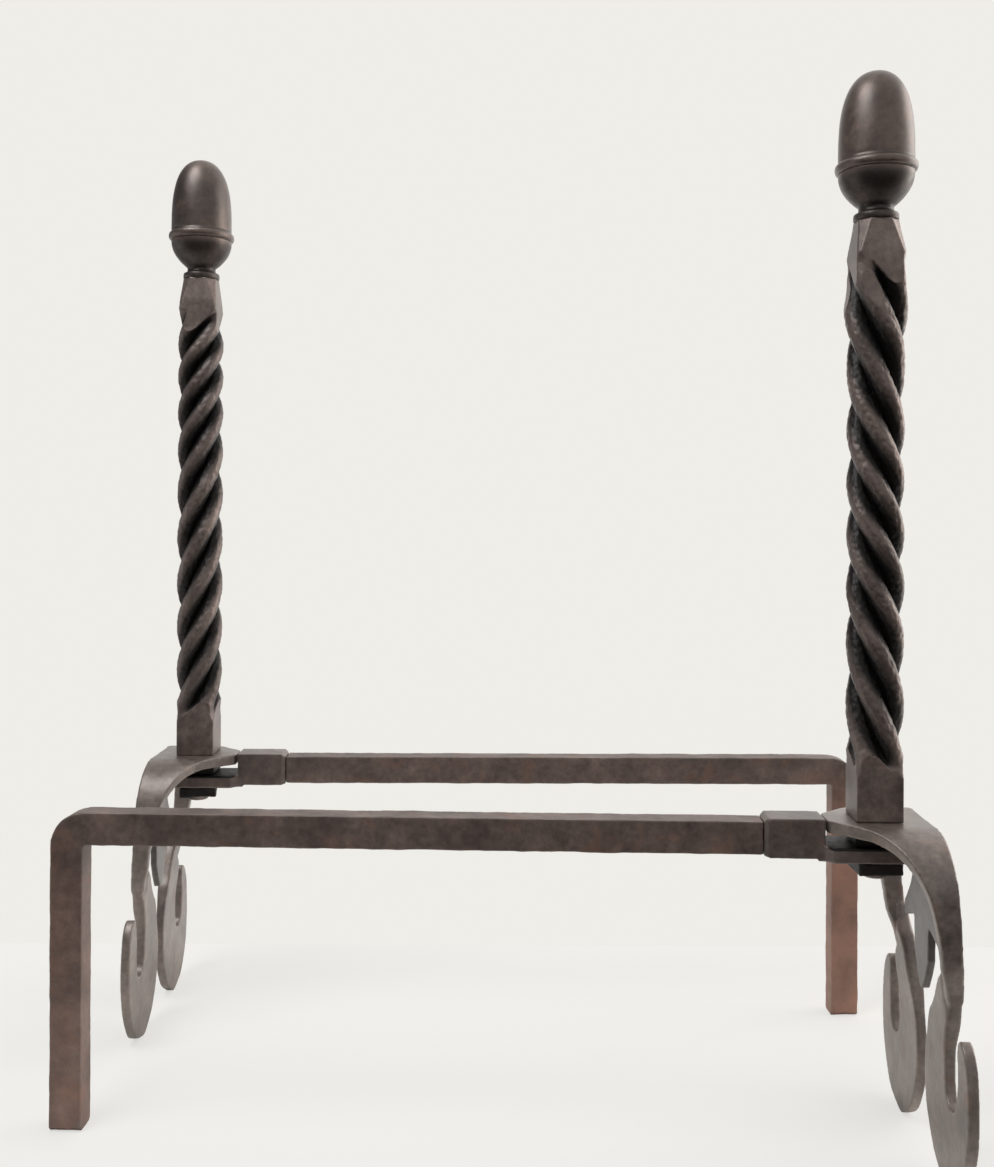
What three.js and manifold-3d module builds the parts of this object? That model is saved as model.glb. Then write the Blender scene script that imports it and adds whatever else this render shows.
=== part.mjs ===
// A pair of forged iron andirons (fire dogs), millimetres, +Z up.
// Each andiron is built in its own group: +X runs back along its billet bar, its column stands on
// the origin, and the floor is z = 0. The two stand side by side, facing opposite ways.

import * as THREE from "three";
import { mergeVertices } from "three/addons/utils/BufferGeometryUtils.js";
import Module from "manifold-3d";

const wasm = await Module();
wasm.setup();

// Placing of the pair.
const PAIR_SPAN = 421; // between the two column axes, along the bars
const PAIR_OFFSET = 175.6; // between the two column axes, across the bars
const NEAR_TURN = 178; // degrees about Z: the near andiron's bar runs towards -X
const FAR_TURN = 0.4; // degrees about Z: the far andiron's bar runs towards +X

// Clearances.
const SEAT_GAP = 0.3; // between two faces that rest on each other
const PIN_CLEARANCE = 0.3; // between a round or square tenon and the wall of its hole

// Front arch: the crest strip, its two legs and their scroll feet are one forging.
const ARCH_TOP = 182; // floor to the top of the crest
const STRIP_THICKNESS = 7;
const CREST_REAR = 28; // column axis to the rear edge of the crest
const CREST_FRONT = 28; // column axis to the front edge of the crest
const CREST_CORNER = 8; // half width over which the crest keeps its full depth
const CREST_FLAT = 20.5; // half width of the flat part of the crest
const SHOULDER_RADIUS = 34; // outer radius where the crest turns down into a leg
const SHOULDER_TURN = 85; // degrees through which the shoulder turns
const KNEE_HALF_SPAN = 54.7; // centre line to the outer face of a leg at its widest
const ANKLE_HEIGHT = 100; // floor to the narrowest part of a leg
const ANKLE_HALF_SPAN = 47; // centre line to the outer face of a leg at the ankle
const ANKLE_FRONT = 33.2; // column plane forward to the front edge of the ankle
const ANKLE_WIDTH = 8.6; // front to back at the ankle

// Scroll feet: flat plates square to the bar.
const FOOT_THICKNESS = 6.2;
const FOOT_FRONT = 32.2; // column plane forward to the front face of a foot
const FOOT_HALF_SPAN = 74.5; // centre line to the outermost point of a foot
const FOOT_INNER = 6.5; // centre line to the innermost point of a foot
const SLOT_INSET = 8; // outer face of the ankle in to the slot's inner side
const SLOT_WIDTH = 18; // open slot between a foot's stem and its curled tail
const SLOT_BOTTOM = 43; // floor to the bottom of the slot
const TAIL_TOP = 84; // floor to the tip of the curled tail
const FOOT_FLAT = 5; // flat spot on which a foot stands

// Centre drop: a flat pendant with a flange that is clamped under the crest.
const FLANGE_THICKNESS = 6.2;
const FLANGE_HALF_WIDTH = 11.5;
const FLANGE_REAR_SETBACK = 15; // from the crest's rear edge
const DROP_THICKNESS = 4.5;
const DROP_FRONT = 30.5; // column plane forward to the drop's front face
const DROP_LENGTH = 94; // crest top to the drop's tip
const DROP_WING_BELOW = 51; // crest top to the widest part of the drop
const DROP_HALF_WIDTH = 30;
const DROP_STEM_HALF_WIDTH = 12.3;
const DROP_TIP_HALF_WIDTH = 3;

// Billet bar with its rear leg.
const BAR_WIDTH = 15.6;
const BAR_HEIGHT = 18.8;
const BAR_BELOW_CREST = 1.4; // crest top down to the bar's top face
const BAR_REACH = 464; // column axis to the back of the rear leg
const REAR_LEG_WIDTH = 18.8; // along the bar
const BEND_RADIUS = 19; // outer radius where the bar turns down
const EDGE_BEVEL = 0.9; // eased edges of forged bar stock
const BAR_TENON_LENGTH = 20;
const BAR_TENON_WIDTH = 10;
const BAR_TENON_HEIGHT = 11;

// Shoe: the block at the bar's front end, with the tongue that goes under the arch.
const SHOE_LENGTH = 31;
const SHOE_PROUD = 2.2; // how far the block stands out beside and above the bar
const SHOE_BELOW = 0.8; // how far it stands out under the bar
const SHOE_CHAMFER = 2.4; // length of the slope from the block down to the bar
const SHOE_SLOT = 1; // open slot between the crest's rear edge and the block
const TONGUE_THICKNESS = 8.6;
const TONGUE_HALF_WIDTH = 14.5;
const TONGUE_FRONT = 14; // column axis forward to the tongue's front end
const TONGUE_SHOULDER = 5; // length of the diagonal shoulder behind the tongue

// Column: square bar, twisted in its middle, with a tenon below.
const COLUMN_SIDE = 25.4;
const CORNER_EASE = 5; // degrees each side of a corner that its bevel covers
const PLAIN_LENGTH = 39; // crest to the start of the twist
const TWIST_LENGTH = 260;
const TWIST_TURNS = 2;
const HEAD_LENGTH = 34; // faceted square above the twist
const RUN_OUT = 14; // height over which the grooves fade into the plain square
const STRAND_REACH = 15; // axis to the crown of a strand
const GROOVE_REACH = 9.5; // axis to the bottom of a groove
const HEAD_TOP_FLAT = 11.3; // axis to a face at the top of the head
const HEAD_TOP_CORNER = 11.8; // axis to a corner facet at the top of the head
const HEAD_FULL_SHARE = 0.4; // share of the head's height where its facets start
const TENON_RADIUS = 7;
const TENON_SHOWS = 3; // below the nut

// Nut under the tongue.
const NUT_SIDE = 25;
const NUT_THICKNESS = 6.8;
const NEAR_NUT_TURN = 4;
const FAR_NUT_TURN = 10;

// Finial: a turned acorn on a threaded stud.
const FINIAL_FOOT_RADIUS = 12.4;
const FINIAL_FOOT_HEIGHT = 4.2;
const NECK_RADIUS = 9.7;
const NECK_HEIGHT = 3.6;
const CUP_HEIGHT = 19.2;
const RING_RADIUS = 22.6;
const RING_HEIGHT = 5.4;
const ACORN_RADIUS = 20.8;
const ACORN_HEIGHT = 51.4;
const STUD_RADIUS = 4;
const STUD_IN_COLUMN = 18;
const STUD_IN_FINIAL = 22;

const ROUND_SIDES = 20;
const STRANDS = 4;
const STEPS_PER_TURN = 20; // rings of the column in one turn of its twist

// Heights and reaches that follow from the driving sizes.
const archUnderside = ARCH_TOP - STRIP_THICKNESS;
const flangeTop = archUnderside - SEAT_GAP;
const flangeBottom = flangeTop - FLANGE_THICKNESS;
const tongueTop = flangeBottom - SEAT_GAP;
const tongueBottom = tongueTop - TONGUE_THICKNESS;
const nutTop = tongueBottom - SEAT_GAP;
const nutBottom = nutTop - NUT_THICKNESS;
const barTop = ARCH_TOP - BAR_BELOW_CREST;
const barBottom = barTop - BAR_HEIGHT;
const barMiddle = (barTop + barBottom) / 2;
const shoeFront = CREST_REAR + SHOE_SLOT;
const shoeBack = shoeFront + SHOE_LENGTH;
const barFront = shoeBack + SHOE_CHAMFER + SEAT_GAP;
const columnBottom = ARCH_TOP + SEAT_GAP;
const twistBottom = ARCH_TOP + PLAIN_LENGTH;
const twistTop = twistBottom + TWIST_LENGTH;
const columnTop = twistTop + HEAD_LENGTH;
const finialBottom = columnTop + SEAT_GAP;

// ---- Solids ----

function toSolid(geometry) {
  const bare = geometry.clone();
  bare.deleteAttribute("normal");
  bare.deleteAttribute("uv");
  const merged = mergeVertices(bare, 1e-4);
  const corners = merged.index.array;
  const kept = [];
  for (let i = 0; i < corners.length; i += 3) {
    const [a, b, c] = [corners[i], corners[i + 1], corners[i + 2]];
    if (a !== b && b !== c && c !== a) {
      kept.push(a, b, c);
    }
  }
  return new wasm.Manifold(
    new wasm.Mesh({
      numProp: 3,
      vertProperties: new Float32Array(merged.attributes.position.array),
      triVerts: new Uint32Array(kept),
    }),
  );
}

function toGeometry(solid) {
  const mesh = solid.getMesh();
  const geometry = new THREE.BufferGeometry();
  geometry.setAttribute("position", new THREE.BufferAttribute(mesh.vertProperties, 3));
  geometry.setIndex(new THREE.BufferAttribute(mesh.triVerts, 1));
  geometry.computeVertexNormals();
  return geometry;
}

// A closed skin over rings of points. Each ring turns anticlockwise about the way the rings run.
function loft(rings) {
  const count = rings[0].length;
  const positions = [];
  const faces = [];
  for (const point of rings.flat()) {
    positions.push(point.x, point.y, point.z);
  }
  for (let i = 0; i + 1 < rings.length; i++) {
    for (let j = 0; j < count; j++) {
      const next = (j + 1) % count;
      const low = i * count;
      const high = low + count;
      faces.push(low + j, low + next, high + next, low + j, high + next, high + j);
    }
  }
  const ends = [rings[0], rings[rings.length - 1]];
  ends.forEach((ring, end) => {
    const middle = ring.reduce((sum, point) => sum.add(point), new THREE.Vector3());
    middle.divideScalar(count);
    const hub = positions.length / 3;
    const start = end * (rings.length - 1) * count;
    positions.push(middle.x, middle.y, middle.z);
    for (let j = 0; j < count; j++) {
      const next = (j + 1) % count;
      const [first, second] = end ? [j, next] : [next, j];
      faces.push(hub, start + first, start + second);
    }
  });
  const geometry = new THREE.BufferGeometry();
  geometry.setAttribute("position", new THREE.Float32BufferAttribute(positions, 3));
  geometry.setIndex(faces);
  return geometry;
}

function roundRod(radius, bottom, top) {
  const rod = new THREE.CylinderGeometry(radius, radius, top - bottom, ROUND_SIDES);
  rod.rotateX(Math.PI / 2);
  rod.translate(0, 0, (top + bottom) / 2);
  return toSolid(rod);
}

function block(xRange, halfWidth, zRange) {
  const box = new THREE.BoxGeometry(xRange[1] - xRange[0], 2 * halfWidth, zRange[1] - zRange[0]);
  box.translate((xRange[0] + xRange[1]) / 2, 0, (zRange[0] + zRange[1]) / 2);
  return toSolid(box);
}

// A flat plate from an outline in (y, z), square to the bar.
function crossPlate(points, front, thickness) {
  const outline = new THREE.Shape(points);
  const plate = new THREE.ExtrudeGeometry(outline, { depth: thickness, bevelEnabled: false });
  plate.applyMatrix4(new THREE.Matrix4().set(0, 0, 1, -front, 1, 0, 0, 0, 0, 1, 0, 0, 0, 0, 0, 1));
  return toSolid(plate);
}

function smoothStep(from, to, value) {
  return THREE.MathUtils.smoothstep(value, from, to);
}

// ---- Front arch ----

// Outer face of the strip in (y, z), from the crest's centre to the ankle.
const shoulderTurn = THREE.MathUtils.degToRad(SHOULDER_TURN);
const shoulderEnd = new THREE.Vector2(
  CREST_FLAT + SHOULDER_RADIUS * Math.sin(shoulderTurn),
  ARCH_TOP - SHOULDER_RADIUS * (1 - Math.cos(shoulderTurn)),
);
const kneeHeight = THREE.MathUtils.lerp(ANKLE_HEIGHT, shoulderEnd.y, 0.68);

function legPoint(inShare, heightShare) {
  return new THREE.Vector2(
    THREE.MathUtils.lerp(KNEE_HALF_SPAN, ANKLE_HALF_SPAN, inShare),
    THREE.MathUtils.lerp(ANKLE_HEIGHT, kneeHeight, heightShare),
  );
}

const legPath = new THREE.SplineCurve([
  shoulderEnd,
  legPoint(0, 1),
  legPoint(0.16, 0.55),
  legPoint(0.74, 0.15),
  legPoint(1.1, -0.07),
]);

function outerFacePoints() {
  const points = [new THREE.Vector2(0, ARCH_TOP), new THREE.Vector2(CREST_CORNER, ARCH_TOP)];
  const shoulder = new THREE.Path();
  const middleHeight = ARCH_TOP - SHOULDER_RADIUS;
  const startAngle = Math.PI / 2;
  shoulder.absarc(CREST_FLAT, middleHeight, SHOULDER_RADIUS, startAngle, startAngle - shoulderTurn, true);
  points.push(...shoulder.getPoints(9));
  points.push(...legPath.getPoints(10).slice(1));
  return points;
}

// Rear edge of the strip against the distance walked along it, from the crest's corner.
function rearEdge(share) {
  const ankleRear = ANKLE_WIDTH - ANKLE_FRONT;
  return ankleRear + (CREST_REAR - ankleRear) * Math.exp(-3.2 * share ** 1.08);
}

function frontEdge(share) {
  return -THREE.MathUtils.lerp(CREST_FRONT, ANKLE_FRONT, share ** 2.1);
}

function stripSolid() {
  const face = outerFacePoints();
  const walked = [0];
  for (let i = 1; i < face.length; i++) {
    walked.push(walked[i - 1] + face[i].distanceTo(face[i - 1]));
  }
  const total = walked[walked.length - 1];
  const half = face.map((point, i) => {
    const before = face[Math.max(i - 1, 0)];
    const after = face[Math.min(i + 1, face.length - 1)];
    const along = after.clone().sub(before).normalize();
    const inward = i === 0 ? new THREE.Vector2(0, -1) : new THREE.Vector2(along.y, -along.x);
    const share = Math.max(0, (walked[i] - CREST_CORNER) / (total - CREST_CORNER));
    const inFoot = smoothStep(0.93, 1, share);
    return {
      outer: point,
      inner: point.clone().addScaledVector(inward, STRIP_THICKNESS),
      front: THREE.MathUtils.lerp(frontEdge(share), -FOOT_FRONT + EDGE_BEVEL, inFoot),
      rear: THREE.MathUtils.lerp(rearEdge(share), FOOT_THICKNESS - FOOT_FRONT - EDGE_BEVEL, inFoot),
    };
  });
  const ring = (station, side) => [
    new THREE.Vector3(station.front, side * station.outer.x, station.outer.y),
    new THREE.Vector3(station.rear, side * station.outer.x, station.outer.y),
    new THREE.Vector3(station.rear, side * station.inner.x, station.inner.y),
    new THREE.Vector3(station.front, side * station.inner.x, station.inner.y),
  ];
  const rings = [];
  for (let i = half.length - 1; i > 0; i--) {
    rings.push(ring(half[i], -1));
  }
  for (const station of half) {
    rings.push(ring(station, 1));
  }
  return toSolid(loft(rings));
}

// Outline of one scroll foot in (y, z): a stem that swells inward, sweeps round the bottom and
// curls up outside into a tail, with an open slot between the stem and the tail.
function footOutline() {
  const inner = ANKLE_HALF_SPAN - STRIP_THICKNESS;
  const top = ANKLE_HEIGHT + 2;
  const slotInner = ANKLE_HALF_SPAN - SLOT_INSET;
  const slotOuter = slotInner + SLOT_WIDTH;
  const middle = (FOOT_INNER + FOOT_HALF_SPAN) / 2 - 2;
  const belly = SLOT_BOTTOM + 2;
  const shape = new THREE.Shape();
  shape.moveTo(ANKLE_HALF_SPAN + 0.6, top);
  shape.lineTo(inner + 0.6, top);
  shape.splineThru([
    new THREE.Vector2(inner - 9, ANKLE_HEIGHT - 2),
    new THREE.Vector2(FOOT_INNER + 8.5, belly + 35),
    new THREE.Vector2(FOOT_INNER + 1, belly + 14),
    new THREE.Vector2(FOOT_INNER + 1.5, belly - 12),
    new THREE.Vector2(FOOT_INNER + 13, belly - 34),
    new THREE.Vector2(middle - FOOT_FLAT / 2, 0),
  ]);
  shape.lineTo(middle + FOOT_FLAT / 2, 0);
  shape.splineThru([
    new THREE.Vector2(FOOT_HALF_SPAN - 16, belly - 38.5),
    new THREE.Vector2(FOOT_HALF_SPAN - 3.5, belly - 18),
    new THREE.Vector2(FOOT_HALF_SPAN, belly + 5),
    new THREE.Vector2(FOOT_HALF_SPAN - 3, TAIL_TOP - 10),
    new THREE.Vector2(FOOT_HALF_SPAN - 11, TAIL_TOP),
    new THREE.Vector2(slotOuter + 1, TAIL_TOP - 4),
    new THREE.Vector2(slotOuter + 1, belly + 17),
    new THREE.Vector2(slotOuter - 1.5, SLOT_BOTTOM + 4),
    new THREE.Vector2((slotInner + slotOuter) / 2, SLOT_BOTTOM),
    new THREE.Vector2(slotInner + 2, SLOT_BOTTOM + 6),
    new THREE.Vector2(slotInner + 0.5, TAIL_TOP - 15),
    new THREE.Vector2(slotInner + 5, TAIL_TOP + 4),
    new THREE.Vector2(ANKLE_HALF_SPAN + 0.6, top),
  ]);
  const points = shape.getPoints(3).slice(0, -1);
  return points.map((point) => new THREE.Vector2(point.x, Math.max(0, point.y)));
}

function mirrored(points) {
  return points.map((point) => new THREE.Vector2(-point.x, point.y)).reverse();
}

function frontArch() {
  const outline = footOutline();
  const rightFoot = crossPlate(outline, FOOT_FRONT, FOOT_THICKNESS);
  const leftFoot = crossPlate(mirrored(outline), FOOT_FRONT, FOOT_THICKNESS);
  const hole = roundRod(TENON_RADIUS + PIN_CLEARANCE, archUnderside - 5, ARCH_TOP + 5);
  return toGeometry(stripSolid().add(rightFoot).add(leftFoot).subtract(hole));
}

// ---- Centre drop ----

function centreDrop() {
  const widest = DROP_HALF_WIDTH;
  const stem = DROP_STEM_HALF_WIDTH;
  const widestHeight = ARCH_TOP - DROP_WING_BELOW;
  const wingBottom = widestHeight - 6;
  const tip = ARCH_TOP - DROP_LENGTH;
  const half = [
    new THREE.Vector2(FLANGE_HALF_WIDTH, flangeTop - FLANGE_THICKNESS / 3),
    new THREE.Vector2(FLANGE_HALF_WIDTH + 1, flangeBottom - 8),
    new THREE.Vector2(FLANGE_HALF_WIDTH + 6, widestHeight + 16),
    new THREE.Vector2(widest - 4, widestHeight + 4),
    new THREE.Vector2(widest, widestHeight),
    new THREE.Vector2(widest - 2, wingBottom),
    new THREE.Vector2(stem + 2, wingBottom),
    new THREE.Vector2(stem, wingBottom - 2),
    new THREE.Vector2(stem - 0.5, THREE.MathUtils.lerp(tip, wingBottom, 0.5)),
    new THREE.Vector2(stem - 3, THREE.MathUtils.lerp(tip, wingBottom, 0.3)),
    new THREE.Vector2(DROP_TIP_HALF_WIDTH, tip + 1),
    new THREE.Vector2(DROP_TIP_HALF_WIDTH - 1, tip),
  ];
  const outline = [...half.slice().reverse(), ...mirrored(half).reverse()];
  const pendant = crossPlate(outline, DROP_FRONT, DROP_THICKNESS);
  const flangeRange = [-DROP_FRONT + 1, CREST_REAR - FLANGE_REAR_SETBACK];
  const flange = block(flangeRange, FLANGE_HALF_WIDTH, [flangeBottom, flangeTop]);
  const hole = roundRod(TENON_RADIUS + PIN_CLEARANCE, flangeBottom - 5, flangeTop + 5);
  return toGeometry(pendant.add(flange).subtract(hole));
}

// ---- Billet bar and shoe ----

function billetBar() {
  const outline = new THREE.Shape();
  outline.moveTo(barFront, barBottom);
  outline.lineTo(BAR_REACH - REAR_LEG_WIDTH, barBottom);
  outline.lineTo(BAR_REACH - REAR_LEG_WIDTH, 0);
  outline.lineTo(BAR_REACH, 0);
  outline.lineTo(BAR_REACH, barTop - BEND_RADIUS);
  outline.absarc(BAR_REACH - BEND_RADIUS, barTop - BEND_RADIUS, BEND_RADIUS, 0, Math.PI / 2, false);
  outline.lineTo(barFront, barTop);
  const stock = new THREE.ExtrudeGeometry(outline, {
    depth: BAR_WIDTH - 2 * EDGE_BEVEL,
    bevelSize: EDGE_BEVEL,
    bevelThickness: EDGE_BEVEL,
    bevelOffset: -EDGE_BEVEL,
    bevelSegments: 1,
    curveSegments: 10,
  });
  stock.translate(0, 0, EDGE_BEVEL - BAR_WIDTH / 2);
  stock.rotateX(Math.PI / 2);
  const tenon = block(
    [barFront - BAR_TENON_LENGTH, barFront + 5],
    BAR_TENON_WIDTH / 2,
    [barMiddle - BAR_TENON_HEIGHT / 2, barMiddle + BAR_TENON_HEIGHT / 2],
  );
  return toGeometry(toSolid(stock).add(tenon));
}

function bevelledSection(x, halfWidth, bottom, top) {
  const edge = EDGE_BEVEL;
  const corners = [
    [-halfWidth + edge, bottom],
    [halfWidth - edge, bottom],
    [halfWidth, bottom + edge],
    [halfWidth, top - edge],
    [halfWidth - edge, top],
    [-halfWidth + edge, top],
    [-halfWidth, top - edge],
    [-halfWidth, bottom + edge],
  ];
  return corners.map(([y, z]) => new THREE.Vector3(x, y, z));
}

function shoe() {
  const half = BAR_WIDTH / 2 + SHOE_PROUD;
  const body = toSolid(
    loft([
      bevelledSection(shoeFront, half, barBottom - SHOE_BELOW, barTop + SHOE_PROUD),
      bevelledSection(shoeBack, half, barBottom - SHOE_BELOW, barTop + SHOE_PROUD),
      bevelledSection(shoeBack + SHOE_CHAMFER, BAR_WIDTH / 2, barBottom, barTop),
    ]),
  );
  const shoulder = shoeFront + 1;
  const tongueOutline = new THREE.Shape([
    new THREE.Vector2(-TONGUE_FRONT, -TONGUE_HALF_WIDTH),
    new THREE.Vector2(shoulder - TONGUE_SHOULDER, -TONGUE_HALF_WIDTH),
    new THREE.Vector2(shoulder, -half),
    new THREE.Vector2(shoulder + 3, -half),
    new THREE.Vector2(shoulder + 3, half),
    new THREE.Vector2(shoulder, half),
    new THREE.Vector2(shoulder - TONGUE_SHOULDER, TONGUE_HALF_WIDTH),
    new THREE.Vector2(-TONGUE_FRONT, TONGUE_HALF_WIDTH),
  ]);
  const tongue = new THREE.ExtrudeGeometry(tongueOutline, {
    depth: TONGUE_THICKNESS - 2 * EDGE_BEVEL,
    bevelSize: EDGE_BEVEL,
    bevelThickness: EDGE_BEVEL,
    bevelOffset: -EDGE_BEVEL,
    bevelSegments: 1,
  });
  tongue.translate(0, 0, tongueBottom + EDGE_BEVEL);
  const socket = block(
    [barFront - BAR_TENON_LENGTH - PIN_CLEARANCE, barFront + 5],
    BAR_TENON_WIDTH / 2 + PIN_CLEARANCE,
    [
      barMiddle - BAR_TENON_HEIGHT / 2 - PIN_CLEARANCE,
      barMiddle + BAR_TENON_HEIGHT / 2 + PIN_CLEARANCE,
    ],
  );
  const hole = roundRod(TENON_RADIUS + PIN_CLEARANCE, tongueBottom - 5, tongueTop + 5);
  return toGeometry(body.add(toSolid(tongue)).subtract(socket).subtract(hole));
}

// ---- Column ----

// Angles round one strand, measured from its crown, in degrees.
const STRAND_ANGLES = [-45, -34, -20, -CORNER_EASE, CORNER_EASE, 20, 34];

// One strand is part of a circle whose two neighbours meet it at the bottom of the groove.
const strandRadius =
  (STRAND_REACH ** 2 + GROOVE_REACH ** 2 - Math.SQRT2 * STRAND_REACH * GROOVE_REACH) /
  (2 * STRAND_REACH - Math.SQRT2 * GROOVE_REACH);
const strandCentre = STRAND_REACH - strandRadius;

function strandReach(offset) {
  const across = strandCentre * Math.sin(offset);
  return strandCentre * Math.cos(offset) + Math.sqrt(strandRadius ** 2 - across ** 2);
}

function squareReach(offset, face, corner) {
  const fromFace = Math.PI / 4 - Math.abs(offset);
  return Math.min(face / Math.cos(fromFace), corner / Math.cos(offset));
}

// A ring of the column: how much of it is twisted strand, and the square round it.
function columnRing(z, grooved, turn, face, corner) {
  const ring = [];
  for (let strand = 0; strand < STRANDS; strand++) {
    for (const degrees of STRAND_ANGLES) {
      const offset = THREE.MathUtils.degToRad(degrees);
      const square = squareReach(offset, face, corner);
      const reach = THREE.MathUtils.lerp(square, strandReach(offset), grooved);
      const angle = turn + ((strand + 0.5) * 2 * Math.PI) / STRANDS + offset;
      ring.push(new THREE.Vector3(reach * Math.cos(angle), reach * Math.sin(angle), z));
    }
  }
  return ring;
}

function column(twistSign) {
  const face = COLUMN_SIDE / 2;
  const corner = face * Math.SQRT2;
  const headFull = twistTop + HEAD_LENGTH * HEAD_FULL_SHARE;
  const rings = [columnRing(columnBottom, 0, 0, face, corner)];
  const fadeSteps = 4;
  for (let i = 0; i < fadeSteps; i++) {
    const share = i / fadeSteps;
    rings.push(columnRing(twistBottom - RUN_OUT * (1 - share), smoothStep(0, 1, share), 0, face, corner));
  }
  const twistSteps = Math.round(TWIST_TURNS * STEPS_PER_TURN);
  for (let i = 0; i <= twistSteps; i++) {
    const share = i / twistSteps;
    const turn = twistSign * share * TWIST_TURNS * 2 * Math.PI;
    rings.push(columnRing(twistBottom + TWIST_LENGTH * share, 1, turn, face, corner));
  }
  const endTurn = twistSign * TWIST_TURNS * 2 * Math.PI;
  for (let i = 1; i <= fadeSteps; i++) {
    const share = i / fadeSteps;
    const z = THREE.MathUtils.lerp(twistTop, headFull, share);
    rings.push(columnRing(z, 1 - smoothStep(0, 1, share), endTurn, face, corner));
  }
  rings.push(columnRing(columnTop, 0, endTurn, HEAD_TOP_FLAT, HEAD_TOP_CORNER));
  const tenon = roundRod(TENON_RADIUS, nutBottom - TENON_SHOWS, columnBottom + 8);
  const studHole = roundRod(
    STUD_RADIUS + PIN_CLEARANCE,
    columnTop - STUD_IN_COLUMN - SEAT_GAP,
    columnTop + 5,
  );
  return toGeometry(toSolid(loft(rings)).add(tenon).subtract(studHole));
}

function nut(turnDegrees) {
  const blank = block([-NUT_SIDE / 2, NUT_SIDE / 2], NUT_SIDE / 2, [nutBottom, nutTop]);
  const hole = roundRod(TENON_RADIUS + PIN_CLEARANCE, nutBottom - 5, nutTop + 5);
  return toGeometry(blank.rotate([0, 0, turnDegrees]).subtract(hole));
}

// ---- Finial ----

function finialProfile() {
  const neckZ = finialBottom + FINIAL_FOOT_HEIGHT + NECK_HEIGHT;
  const ringBottom = neckZ + CUP_HEIGHT;
  const ringTop = ringBottom + RING_HEIGHT;
  const profile = [
    new THREE.Vector2(0, finialBottom),
    new THREE.Vector2(FINIAL_FOOT_RADIUS, finialBottom),
    new THREE.Vector2(FINIAL_FOOT_RADIUS, finialBottom + FINIAL_FOOT_HEIGHT * 0.7),
    new THREE.Vector2(FINIAL_FOOT_RADIUS - 0.9, finialBottom + FINIAL_FOOT_HEIGHT),
    new THREE.Vector2(NECK_RADIUS, neckZ - NECK_HEIGHT * 0.3),
  ];
  const cupSteps = 6;
  for (let i = cupSteps; i >= 0; i--) {
    const share = i / cupSteps;
    const swell = 1 - share ** 2.2;
    const radius = THREE.MathUtils.lerp(NECK_RADIUS, ACORN_RADIUS, swell);
    profile.push(new THREE.Vector2(radius, ringBottom - CUP_HEIGHT * share));
  }
  const ringSteps = 4;
  const bead = RING_RADIUS - ACORN_RADIUS;
  for (let i = 1; i < ringSteps; i++) {
    const angle = (Math.PI * i) / ringSteps;
    const z = (ringBottom + ringTop) / 2 - (RING_HEIGHT / 2) * Math.cos(angle);
    profile.push(new THREE.Vector2(ACORN_RADIUS + bead * Math.sin(angle), z));
  }
  const acornSteps = 9;
  for (let i = 0; i <= acornSteps; i++) {
    const share = Math.sin((Math.PI / 2) * (i / acornSteps));
    const radius = ACORN_RADIUS * Math.max(0, 1 - share ** 3) ** 0.42;
    profile.push(new THREE.Vector2(i === acornSteps ? 0 : radius, ringTop + ACORN_HEIGHT * share));
  }
  return profile;
}

function finial() {
  const turned = new THREE.LatheGeometry(finialProfile(), ROUND_SIDES);
  turned.rotateX(Math.PI / 2);
  const studHole = roundRod(
    STUD_RADIUS + PIN_CLEARANCE,
    finialBottom - 5,
    finialBottom + STUD_IN_FINIAL + SEAT_GAP,
  );
  return toGeometry(toSolid(turned).subtract(studHole));
}

function finialStud() {
  return toGeometry(
    roundRod(STUD_RADIUS, columnTop - STUD_IN_COLUMN, finialBottom + STUD_IN_FINIAL),
  );
}

// ---- Assembly ----

function iron(color, roughness) {
  return new THREE.MeshStandardMaterial({ color, roughness, metalness: 0.85 });
}

function andiron(prefix, twistSign, nutTurn) {
  const group = new THREE.Group();
  const pieces = [
    ["front_arch", frontArch(), iron(0x5a504c, 0.55)],
    ["centre_drop", centreDrop(), iron(0x494341, 0.6)],
    ["shoe", shoe(), iron(0x544a47, 0.6)],
    ["billet_bar", billetBar(), iron(0x594d49, 0.65)],
    ["column", column(twistSign), iron(0x3a3432, 0.5)],
    ["tenon_nut", nut(nutTurn), iron(0x34302e, 0.6)],
    ["finial_stud", finialStud(), iron(0x6b6866, 0.4)],
    ["finial", finial(), iron(0x443d3b, 0.42)],
  ];
  for (const [name, geometry, material] of pieces) {
    const mesh = new THREE.Mesh(geometry, material);
    mesh.name = `${prefix}_${name}`;
    group.add(mesh);
  }
  return group;
}

const LEFT_HAND = -1;
const RIGHT_HAND = 1;

const nearAndiron = andiron("near", LEFT_HAND, NEAR_NUT_TURN);
nearAndiron.position.set(PAIR_SPAN / 2, -PAIR_OFFSET / 2, 0);
nearAndiron.rotation.z = THREE.MathUtils.degToRad(NEAR_TURN);

const farAndiron = andiron("far", RIGHT_HAND, FAR_NUT_TURN);
farAndiron.position.set(-PAIR_SPAN / 2, PAIR_OFFSET / 2, 0);
farAndiron.rotation.z = THREE.MathUtils.degToRad(FAR_TURN);

// The origin is the middle of the pair's footprint on the floor.
const andirons = new THREE.Group();
andirons.add(nearAndiron, farAndiron);
const footprint = new THREE.Box3().setFromObject(andirons, true).getCenter(new THREE.Vector3());
andirons.position.set(-footprint.x, -footprint.y, 0);

export default andirons;
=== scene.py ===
"""Looks of a pair of forged iron andirons: twisted columns, turned acorns, scroll feet and billet bars."""

import itertools
import math

import bpy
import numpy as np
from mathutils import Matrix, Vector


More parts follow.
